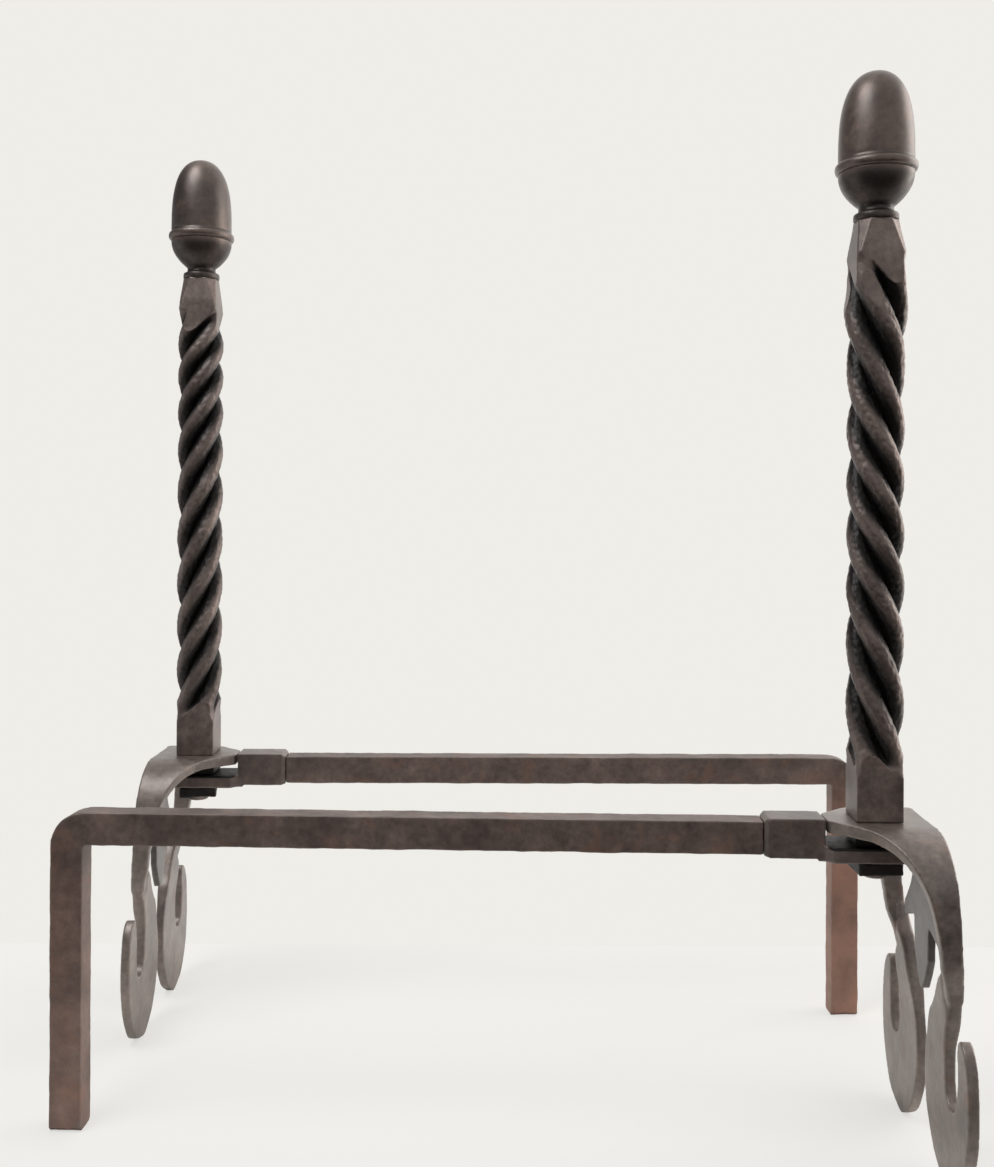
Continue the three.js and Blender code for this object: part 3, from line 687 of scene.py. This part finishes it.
def tenon_nut(seed, turn):
    nut = joined("nut", box_shape((-NUT_SIDE / 2, NUT_SIDE / 2), NUT_SIDE / 2, (NUT_BOTTOM, NUT_TOP)))
    forged(nut, voxel=0.6, soften=6)
    hammered(nut, dents=0.9, scale_marks=0.3, seed=seed)
    points = points_of(nut.data)
    points[:, 2] = np.clip(points[:, 2], NUT_BOTTOM, NUT_TOP)
    set_points(nut.data, points)
    nut.data.transform(Matrix.Rotation(math.radians(turn), 4, "Z"))
    return cut(nut, rod_shape(TENON_RADIUS + PIN_CLEARANCE, NUT_BOTTOM - 5, NUT_TOP + 5))


# ---- Finial ----

FINIAL_SIDES = 112


def finial_profile():
    """(radius, height) from the roof of the stud hole, down and out, then up to the tip."""
    hole = STUD_RADIUS + PIN_CLEARANCE
    roof = FINIAL_BOTTOM + STUD_IN_FINIAL + SEAT_GAP
    foot_top = FINIAL_BOTTOM + FINIAL_FOOT_HEIGHT
    neck_top = foot_top + NECK_HEIGHT
    ring_bottom = neck_top + CUP_HEIGHT
    ring_top = ring_bottom + RING_HEIGHT
    profile = [(0.5, roof), (hole, roof), (hole, FINIAL_BOTTOM), (FINIAL_FOOT_RADIUS - 0.4, FINIAL_BOTTOM)]
    profile += [(FINIAL_FOOT_RADIUS, FINIAL_BOTTOM + 0.5), (FINIAL_FOOT_RADIUS, foot_top - 1.3)]
    profile += [(FINIAL_FOOT_RADIUS - 0.3, foot_top - 0.4), (FINIAL_FOOT_RADIUS - 1.1, foot_top)]
    profile += [(NECK_RADIUS + 0.5, foot_top + 0.5), (NECK_RADIUS, foot_top + 1.6)]
    for i in range(25):
        share = 1 - i / 24
        radius = mix(NECK_RADIUS, ACORN_RADIUS, 1 - share**2.2)
        profile.append((radius, ring_bottom - CUP_HEIGHT * share))
    bead = RING_RADIUS - ACORN_RADIUS
    for i in range(13):
        angle = math.pi * i / 12
        z = (ring_bottom + ring_top) / 2 - RING_HEIGHT / 2 * math.cos(angle)
        profile.append((ACORN_RADIUS - 0.35 + (bead + 0.35) * math.sin(angle) ** 0.8, z))
    for i in range(1, 41):
        share = math.sin(math.pi / 2 * i / 40)
        radius = max(0.3, ACORN_RADIUS * max(0, 1 - share**3) ** 0.42)
        profile.append((radius, ring_top + ACORN_HEIGHT * share))
    return profile


def finial(seed):
    rings = [round_ring(radius, z, FINIAL_SIDES) for radius, z in finial_profile()]
    acorn = joined("finial", loft(rings))
    mesh = acorn.data
    points = points_of(mesh)
    outside = smooth_share(FINIAL_BOTTOM + 1, FINIAL_BOTTOM + 5, points[:, 2])
    uneven = 0.16 * (value_noise(points, 14, seed) - 0.4) + 0.08 * value_noise(points, 5, seed + 1)
    out = points * (1, 1, 0)
    length = np.maximum(1e-6, np.linalg.norm(out, axis=1))
    skin = (length > STUD_RADIUS + 1) * outside
    set_points(mesh, points + out / length[:, None] * (uneven * skin)[:, None])
    # The underside of the cup, below the ring, gets some painted shade.
    ring_bottom = FINIAL_BOTTOM + FINIAL_FOOT_HEIGHT + NECK_HEIGHT + CUP_HEIGHT
    return shaded(acorn, 0.26 * smooth_share(ring_bottom + 2, ring_bottom - 5, points[:, 2]))


# ---- Materials ----


def linear(red, green, blue):
    """A colour given as 0 to 255, for a shader."""
    channels = (c / 255 for c in (red, green, blue))
    return tuple(c / 12.92 if c <= 0.04045 else ((c + 0.055) / 1.055) ** 2.4 for c in channels) + (1,)


def add_node(tree, kind, inputs=(), **settings):
    node = tree.nodes.new(kind)
    for name, value in settings.items():
        setattr(node, name, value)
    for key, value in dict(inputs).items():
        if isinstance(value, bpy.types.NodeSocket):
            tree.links.new(value, node.inputs[key])
        else:
            node.inputs[key].default_value = value
    return node


def noise(tree, where, scale, detail=6.0, rough=0.6, distortion=0.0):
    inputs = {"Vector": where, "Scale": scale, "Detail": detail, "Roughness": rough, "Distortion": distortion}
    return add_node(tree, "ShaderNodeTexNoise", inputs).outputs["Fac"]


def ranged(tree, value, low, high, to_low=0.0, to_high=1.0):
    inputs = {"Value": value, "From Min": low, "From Max": high, "To Min": to_low, "To Max": to_high}
    return add_node(tree, "ShaderNodeMapRange", inputs).outputs["Result"]


def blended(tree, share, a, b, kind="MIX"):
    node = add_node(tree, "ShaderNodeMix", data_type="RGBA", blend_type=kind)
    for key, value in ((0, share), (6, a), (7, b)):
        if isinstance(value, bpy.types.NodeSocket):
            tree.links.new(value, node.inputs[key])
        else:
            node.inputs[key].default_value = value
    return node.outputs[2]


def times(tree, a, b):
    node = add_node(tree, "ShaderNodeMath", {0: a, 1: b}, operation="MULTIPLY")
    return node.outputs[0]


def added(tree, a, b):
    node = add_node(tree, "ShaderNodeMath", {0: a, 1: b}, operation="ADD")
    return node.outputs[0]


RUST = linear(150, 112, 92)
LEG_RUST = linear(176, 128, 106)
# Pale edges: partly wear, partly painted highlight.
PALE_EDGE_WEAR_AND_GLINT = linear(150, 140, 132)
# Colour of painted shade in creases.
CREASE_SHADE = linear(12, 10, 9)
# Near black for painted shade in grooves and under other parts.
PAINTED_SHADE = linear(9, 8, 8)


def leg_rust(tree, where, patches):
    """Share of dusty rust on the two rear legs, more of it on the far one; places are in metres."""
    place = add_node(tree, "ShaderNodeSeparateXYZ", {0: where}).outputs
    far_leg = ranged(tree, place["X"], 0.2, 0.23, 0.0, 0.62)
    near_leg = ranged(tree, place["X"], -0.225, -0.245, 0.0, 0.2)
    low = ranged(tree, place["Z"], 0.175, 0.14)
    legs = times(tree, added(tree, far_leg, near_leg), low)
    return times(tree, legs, ranged(tree, patches, 0.0, 1.0, 0.6, 1.1))


def iron(name, dark, light, rusty, gloss, metal, grain, edge_wear_and_glint=0.35, wax=0.6, paints_shade=False, legs=False):
    """Old waxed iron: two browns in patches, fine mottling, warm rust, pale edges that are partly wear and
    partly painted highlight, painted shade in creases, and near-black painted shade where the mesh marks it
    when asked.
    """
    material = bpy.data.materials.new(name)
    material.use_nodes = True
    tree = material.node_tree
    shader = tree.nodes["Principled BSDF"]
    where = add_node(tree, "ShaderNodeTexCoord").outputs["Object"]
    patches = ranged(tree, noise(tree, where, 34.0, 5.0), 0.36, 0.66)
    mottle = noise(tree, where, 210.0, 8.0, 0.7)
    grit = noise(tree, where, 900.0, 6.0, 0.65)
    colour = blended(tree, patches, linear(*dark), linear(*light))
    shade = ranged(tree, mottle, 0.3, 0.7, 0.62, 1.3)
    shade_colour = add_node(tree, "ShaderNodeCombineColor", {"Red": shade, "Green": shade, "Blue": shade})
    colour = blended(tree, 1.0, colour, shade_colour.outputs[0], "MULTIPLY")
    stains = noise(tree, where, 60.0, 9.0, 0.62, 0.6)
    stains = ranged(tree, stains, 0.62 - 0.3 * rusty, 0.8 - 0.25 * rusty)
    colour = blended(tree, times(tree, stains, min(1.0, 0.3 + rusty)), colour, RUST)
    if legs:
        colour = blended(tree, leg_rust(tree, where, patches), colour, LEG_RUST)
    pointed = add_node(tree, "ShaderNodeNewGeometry").outputs["Pointiness"]
    # Paler sharp edges from pointiness: partly wear, partly painted highlight.
    edges = times(tree, ranged(tree, pointed, 0.515, 0.58), edge_wear_and_glint)
    colour = blended(tree, edges, colour, PALE_EDGE_WEAR_AND_GLINT)
    # Painted shade in creases, found from pointiness.
    crease_shade = times(tree, ranged(tree, pointed, 0.485, 0.43), 0.75)
    colour = blended(tree, crease_shade, colour, CREASE_SHADE)
    shader.inputs["Coat Weight"].default_value = wax
    # Near-black painted shade where the mesh marks it, with less wax there.
    if paints_shade:
        deep = add_node(tree, "ShaderNodeAttribute", attribute_name="painted_shade_share").outputs["Fac"]
        shade_share = ranged(tree, added(tree, deep, times(tree, mottle, 0.3)), 0.27, 0.5, 0.0, 0.96)
        colour = blended(tree, shade_share, colour, PAINTED_SHADE)
        tree.links.new(ranged(tree, shade_share, 0.0, 1.0, wax, 0.1), shader.inputs["Coat Weight"])
    tree.links.new(colour, shader.inputs["Base Color"])
    rough = ranged(tree, mottle, 0.3, 0.7, *gloss)
    rough = added(tree, rough, times(tree, stains, 0.16))
    tree.links.new(rough, shader.inputs["Roughness"])
    shader.inputs["Metallic"].default_value = metal
    shader.inputs["Coat IOR"].default_value = 1.7
    shader.inputs["Coat Roughness"].default_value = 0.4
    relief = added(tree, times(tree, mottle, 0.6), times(tree, grit, 0.4))
    bump = add_node(tree, "ShaderNodeBump", {"Height": relief, "Strength": 0.5, "Distance": 0.0007 * grain})
    tree.links.new(bump.outputs["Normal"], shader.inputs["Normal"])
    return material


MATERIALS = {
    "forged_arch": iron(
        "arch_iron", (104, 93, 88), (140, 128, 121), rusty=0.2, gloss=(0.4, 0.56), metal=0.65, grain=0.5
    ),
    "drop_plate": iron(
        "drop_iron",
        (74, 68, 66),
        (112, 106, 102),
        rusty=0.1,
        gloss=(0.42, 0.58),
        metal=0.6,
        grain=0.5,
        paints_shade=True,
    ),
    "forged_shoe": iron(
        "shoe_iron",
        (84, 73, 69),
        (118, 104, 98),
        rusty=0.15,
        gloss=(0.45, 0.65),
        metal=0.6,
        grain=0.9,
        paints_shade=True,
    ),
    "forged_bar": iron(
        "bar_iron",
        (94, 81, 77),
        (130, 112, 105),
        rusty=0.25,
        gloss=(0.5, 0.7),
        metal=0.55,
        grain=1.1,
        wax=0.25,
        legs=True,
    ),
    "twisted_column": iron(
        "column_iron",
        (96, 84, 80),
        (134, 119, 113),
        rusty=0.05,
        gloss=(0.38, 0.56),
        metal=0.6,
        grain=0.9,
        edge_wear_and_glint=0.12,
        wax=0.3,
        paints_shade=True,
    ),
    # The nut's near-black colours are painted shade, for its place under the tongue.
    "nut_iron": iron(
        "nut_iron",
        (12, 10, 10),
        (26, 23, 21),
        rusty=0.05,
        gloss=(0.5, 0.7),
        metal=0.4,
        grain=1.2,
        edge_wear_and_glint=0.15,
        wax=0.1,
    ),
    "stud_steel": iron(
        "stud_steel", (90, 88, 86), (140, 138, 134), rusty=0.1, gloss=(0.3, 0.45), metal=0.9, grain=0.3
    ),
    "turned_finial": iron(
        "finial_iron",
        (68, 56, 51),
        (102, 85, 77),
        rusty=0.1,
        gloss=(0.36, 0.5),
        metal=0.6,
        grain=0.35,
        paints_shade=True,
    ),
}


# ---- Assembly ----


def placing(side):
    """From an andiron's own millimetres to the frame's metres; the finial gives the column's axis."""
    low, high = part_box(f"{side}_finial")
    axis = (low + high) / 2
    turn = Matrix.Rotation(math.radians(TURNS_ABOUT_Z[side]), 4, "Z")
    return Matrix.Translation((axis.x, axis.y, 0)) @ turn @ Matrix.Scale(MM, 4)


def dress(side, node, slot, obj):
    """Puts a finished piece in place of its CAD node."""
    name = f"{side}_{node}"
    obj.data.transform(placing(side))
    points = points_of(obj.data)
    set_points(obj.data, np.clip(points, np.array(cad_low), np.array(cad_high)))
    obj.name = f"{name}_iron"
    obj.data.name = obj.name
    obj.data.shade_smooth()
    obj.data.materials.clear()
    obj.data.materials.append(MATERIALS[slot])
    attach(obj, f"{side}_andiron")
    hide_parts(name)


for seed, side in ((10, "near"), (60, "far")):
    dress(side, "front_arch", "forged_arch", front_arch(seed))
    dress(side, "centre_drop", "drop_plate", centre_drop(seed + 5))
    dress(side, "shoe", "forged_shoe", shoe(seed + 10))
    dress(side, "billet_bar", "forged_bar", billet_bar(seed + 15))
    dress(side, "column", "twisted_column", column(seed + 20, TWIST[side]))
    dress(side, "tenon_nut", "nut_iron", tenon_nut(seed + 35, NUT_TURN[side]))
    dress(side, "finial", "turned_finial", finial(seed + 40))
    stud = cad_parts[f"{side}_finial_stud"]
    stud.data.materials.clear()
    stud.data.materials.append(MATERIALS["stud_steel"])


# ---- Floor, light and camera, in metres ----

FLOOR_REACH = 3.0
WALL_LINE = 0.22  # where the floor meets the pale wall behind the pair
WALL_COLOUR = linear(239, 237, 232)
FLOOR_COLOUR = linear(242, 241, 238)
FLOOR_GLOW = 0.68  # share of the seen floor that is its own pale colour, without shadow
TABLE_COLOUR = linear(40, 36, 33)  # of the floor nearer than the paper, as the iron mirrors it
PAPER_EDGE = (-0.34, -0.16)


def make_floor():
    corners = [(-1, -1), (1, -1), (1, 0), (-1, 0)]
    points = [(x * FLOOR_REACH, WALL_LINE + y * FLOOR_REACH, 0) for x, y in corners]
    floor = mesh_object("floor", points, [(0, 1, 2, 3)])
    material = bpy.data.materials.new("floor_paper")
    material.use_nodes = True
    tree = material.node_tree
    tree.nodes.clear()
    seen = add_node(tree, "ShaderNodeLightPath").outputs["Is Camera Ray"]
    place = add_node(tree, "ShaderNodeNewGeometry").outputs["Position"]
    depth = add_node(tree, "ShaderNodeSeparateXYZ", {0: place}).outputs["Y"]
    sheet = blended(tree, ranged(tree, depth, *PAPER_EDGE), TABLE_COLOUR, FLOOR_COLOUR)
    paper = blended(tree, seen, sheet, FLOOR_COLOUR)
    diffuse = add_node(tree, "ShaderNodeBsdfDiffuse", {"Color": paper})
    glow = add_node(tree, "ShaderNodeEmission", {"Color": FLOOR_COLOUR, "Strength": 1.0})
    share = times(tree, seen, FLOOR_GLOW)
    both = add_node(tree, "ShaderNodeMixShader", {0: share, 1: diffuse.outputs[0], 2: glow.outputs[0]})
    add_node(tree, "ShaderNodeOutputMaterial", {"Surface": both.outputs[0]})
    floor.data.materials.append(material)


def make_world():
    """Pale wall to the camera; to the iron, a room that is dim in front and at the left, bright behind."""
    world = bpy.data.worlds.new("room")
    bpy.context.scene.world = world
    world.use_nodes = True
    tree = world.node_tree
    tree.nodes.clear()
    way = add_node(tree, "ShaderNodeTexCoord").outputs["Generated"]
    parts = add_node(tree, "ShaderNodeSeparateXYZ", {0: way}).outputs
    depth = ranged(tree, parts["Y"], -0.3, 0.55, 0.55, 1.15)
    height = ranged(tree, parts["Z"], -0.8, -0.1, 0.4, 1.0)
    left = ranged(tree, parts["X"], 0.1, -0.5)
    high = ranged(tree, parts["Z"], 0.05, 0.35)
    upper_left = added(tree, times(tree, times(tree, left, high), -0.6), 1.0)
    far_left = ranged(tree, parts["X"], -0.7, -0.4, 0.3, 1.0)
    level = times(tree, times(tree, times(tree, depth, height), far_left), upper_left)
    seen = add_node(tree, "ShaderNodeLightPath").outputs["Is Camera Ray"]
    room = add_node(tree, "ShaderNodeBackground", {"Color": (1.0, 0.985, 0.96, 1), "Strength": level})
    wall = add_node(tree, "ShaderNodeBackground", {"Color": WALL_COLOUR, "Strength": 1.0})
    both = add_node(tree, "ShaderNodeMixShader", {0: seen, 1: room.outputs[0], 2: wall.outputs[0]})
    add_node(tree, "ShaderNodeOutputWorld", {"Surface": both.outputs[0]})


def soft_lamp(name, place, aim, size, power, colour=(1.0, 1.0, 1.0)):
    lamp = bpy.data.lights.new(name, "AREA")
    lamp.shape = "RECTANGLE"
    lamp.size, lamp.size_y = size
    lamp.energy = power
    lamp.color = colour
    obj = bpy.data.objects.new(name, lamp)
    bpy.context.scene.collection.objects.link(obj)
    obj.location = place
    obj.rotation_mode = "QUATERNION"
    obj.rotation_quaternion = (Vector(aim) - Vector(place)).to_track_quat("-Z", "Y")


CAMERA_PLACE = (-0.0011, -0.75855, 0.3496)
CAMERA_LENS = 43.46  # mm, on a sensor 36 mm wide
CAMERA_SHIFT = -0.0728
CAMERA_TILT = 0.0039  # radians above level
CAMERA_ROLL = 0.0045


def make_camera():
    camera = bpy.data.cameras.new("camera")
    camera.lens = CAMERA_LENS
    camera.sensor_width = 36.0
    camera.sensor_fit = "HORIZONTAL"
    camera.shift_y = CAMERA_SHIFT
    obj = bpy.data.objects.new("camera", camera)
    bpy.context.scene.collection.objects.link(obj)
    obj.location = CAMERA_PLACE
    tilt = Matrix.Rotation(math.pi / 2 + CAMERA_TILT, 4, "X") @ Matrix.Rotation(CAMERA_ROLL, 4, "Z")
    obj.rotation_euler = tilt.to_euler()
    bpy.context.scene.camera = obj


make_floor()
make_world()
soft_lamp("lamp_above", (-0.64, -0.53, 1.56), (0.0, 0.0, 0.3), (0.7, 0.7), 11.0)
soft_lamp("lamp_right", (1.5, 0.3, 0.7), (0.1, 0, 0.3), (0.9, 1.4), 10.5, (1.0, 0.92, 0.85))
soft_lamp("lamp_left", (-1.5, 0.0, 0.35), (-0.1, 0, 0.2), (1.2, 0.7), 1.5)
make_camera()
bpy.context.scene.view_settings.view_transform = "Standard"
